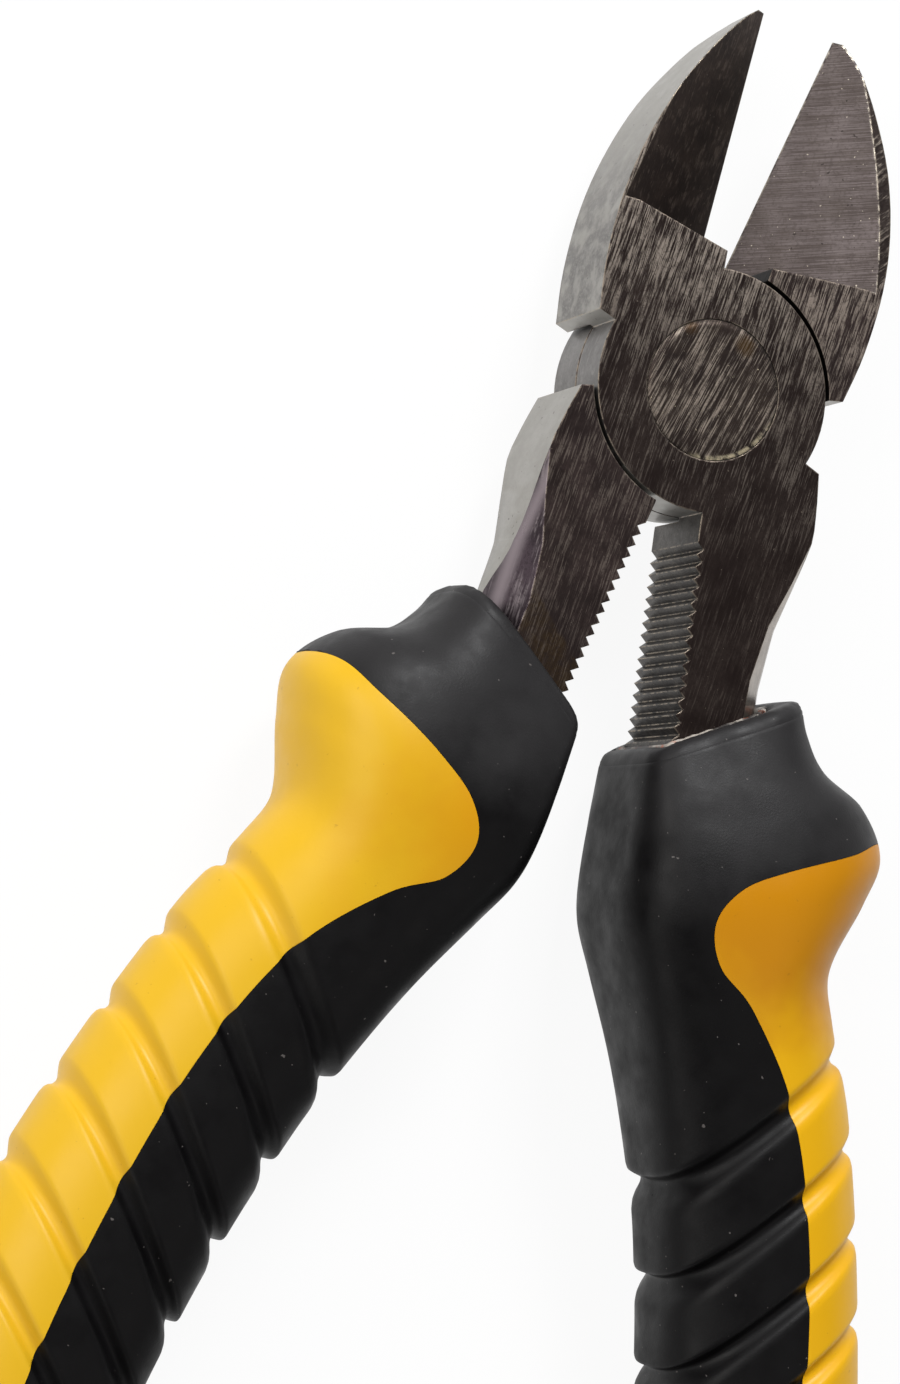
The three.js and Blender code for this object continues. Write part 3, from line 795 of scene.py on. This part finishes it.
def clipped(points, triangles, level):
    """The part of a triangle skin where level is above zero, cut along level zero."""
    inside = level[triangles] > 0
    count = inside.sum(1)
    # Cut triangles, with the corner that lies apart from the other two put first
    corners = {}
    for number in (1, 2):
        some = triangles[count == number]
        flags = inside[count == number]
        apart = np.argmax(flags if number == 1 else ~flags, axis=1)
        corners[number] = [some[np.arange(len(some)), (apart + k) % 3] for k in range(3)]
    a1, b1, c1 = corners[1]
    a2, b2, c2 = corners[2]
    edges = np.column_stack([np.concatenate([a1, a1, a2, a2]), np.concatenate([b1, c1, b2, c2])])
    edges, number = np.unique(np.sort(edges, axis=1), axis=0, return_inverse=True)
    number = number.ravel() + len(points)
    start, end = edges.T
    share = level[start] / (level[start] - level[end])
    cuts = points[start] + (points[end] - points[start]) * share[:, None]
    ab1, ac1, ab2, ac2 = np.split(number, np.cumsum([len(a1), len(a1), len(a2)]))
    kept = np.concatenate([triangles[count == 3], np.column_stack([a1, ab1, ac1]),
                           np.column_stack([ab2, b2, c2]), np.column_stack([ab2, c2, ac2])])
    used, kept = np.unique(kept, return_inverse=True)
    return np.vstack([points, cuts])[used], kept.reshape(-1, 3)


def closed(sheets, triangles):
    """A skin and its inner side joined round their edges into a closed shell."""
    count = len(sheets)
    edges = np.concatenate([triangles[:, [0, 1]], triangles[:, [1, 2]], triangles[:, [2, 0]]])
    single = ~np.isin(edges[:, 0] * count + edges[:, 1], edges[:, 1] * count + edges[:, 0])
    a, b = edges[single].T
    rim = np.concatenate([np.column_stack([b, a, a + count]), np.column_stack([b, a + count, b + count])])
    points = np.concatenate([sheets[:, :3], sheets[:, 3:]])
    return points, np.concatenate([triangles, triangles[:, ::-1] + count, rim])


def grip_form():
    """Sections, seam, and the skins of the hard insert and the soft cover."""
    sections = grip_sections()
    seam = seam_line()
    points, triangles = grip_skin(sections)
    offset, _ = seam_offsets(points, seam)
    skins = {"hard": closed(*clipped(points, triangles, offset - SEAM_EDGE)),
             "soft": closed(*clipped(points, triangles, -offset - SEAM_EDGE))}
    return sections, seam, skins


def arm_turn(side):
    return np.array(Matrix.Rotation(-side * HALF_OPENING, 3, "Z"))


def to_arm(points, side):
    """Points of the open tool in the arm's own closed frame, as on the right grip."""
    return (points / MM @ arm_turn(side).T) * [side, 1, 1] - GRIP_MIDDLE


def from_arm(points, side):
    return ((points + GRIP_MIDDLE) * [side, 1, 1]) @ arm_turn(side) * MM


def remeshed(obj):
    """Rebuilds the object's mesh from small even faces."""
    remesh = obj.modifiers.new("remesh", "REMESH")
    remesh.mode = "VOXEL"
    remesh.voxel_size = VOXEL * MM
    relax = obj.modifiers.new("relax", "SMOOTH")
    relax.factor = RELAX
    relax.iterations = RELAX_STEPS
    baked(obj)


def draw_back(points, depth, seam, inner):
    """Moves shallow points back from the seam; inner is 1 on the insert and -1 on the cover."""
    shallow = np.flatnonzero((depth < SEAM_DEPTH) & (points[:, 1] < SEAM_TOP))
    offset, left = seam_offsets(points[shallow], seam)
    near = (offset * inner < UNDER_SKIN) & (np.abs(offset) < SEAM_REACH)
    points[shallow[near], :2] += left[near] * (inner * UNDER_SKIN - offset[near])[:, None]


def grip_piece(node, body, side, kind, form, materials):
    """The hard insert or soft cover of a grip: the CAD form under a smooth skin. side is 1 for the right
    grip and -1 for the left one. A second material goes on the sleeve at the mouth."""
    sections, seam, skins = form
    obj = new_object(node + "_skin", copied(node))
    remeshed(obj)
    mesh = obj.data
    flat = np.empty(len(mesh.vertices) * 3)
    mesh.vertices.foreach_get("co", flat)
    fitted, depth = fit_to_grip(to_arm(flat.reshape(-1, 3), side), sections)
    draw_back(fitted, depth, seam, 1 if kind == "hard" else -1)
    mesh.vertices.foreach_set("co", from_arm(fitted, side).ravel())
    mesh.update()
    for face in mesh.polygons:
        at_mouth = fitted[face.vertices[0], 1] > INSERT_TOP + SLEEVE_ABOVE
        face.material_index = 1 if len(materials) > 1 and at_mouth else 0
    points, triangles = skins[kind]
    skin = bpy.data.meshes.new(node + "_outside")
    skin.from_pydata(from_arm(points, side).tolist(), [], triangles[:, ::side].tolist())
    bm = bmesh.new()
    bm.from_mesh(mesh)
    bm.from_mesh(skin)
    bm.to_mesh(mesh)
    bm.free()
    bpy.data.meshes.remove(skin)
    for material in materials:
        mesh.materials.append(material)
    smooth(obj, SHARP_GRIP)
    settle(obj, node, body)


def make_grips():
    black = rubber("black_rubber_worn")
    # The sleeve's whitish, dark and orange patches are painted highlight and painted shade.
    painted_light = sleeve("sleeve_painted_light")
    # Painted shade: each insert is darker on one side, and the right one darker and more orange overall.
    right_yellow = plastic("right_yellow_worn_painted_shade", "bd7d00", "dca609", UPWARD, -46.0, -60.0)
    left_yellow = plastic("left_yellow_worn_painted_shade", "c98e02", "d4a71c", RIGHTWARD, -10.0, -26.0)
    form = grip_form()
    for name, body, side, yellow in (("right", "front_arm", 1, right_yellow),
                                     ("left", "back_arm", -1, left_yellow)):
        grip_piece(name + "_grip_cover", body, side, "soft", form, [black])
        grip_piece(name + "_grip_insert", body, side, "hard", form, [yellow, painted_light])


bpy.context.scene.view_settings.view_transform = "Standard"
make_camera()
make_world()
for light in LIGHTS:
    area_light(*light)
make_floor()
make_halves()
make_rivet()
make_grips()
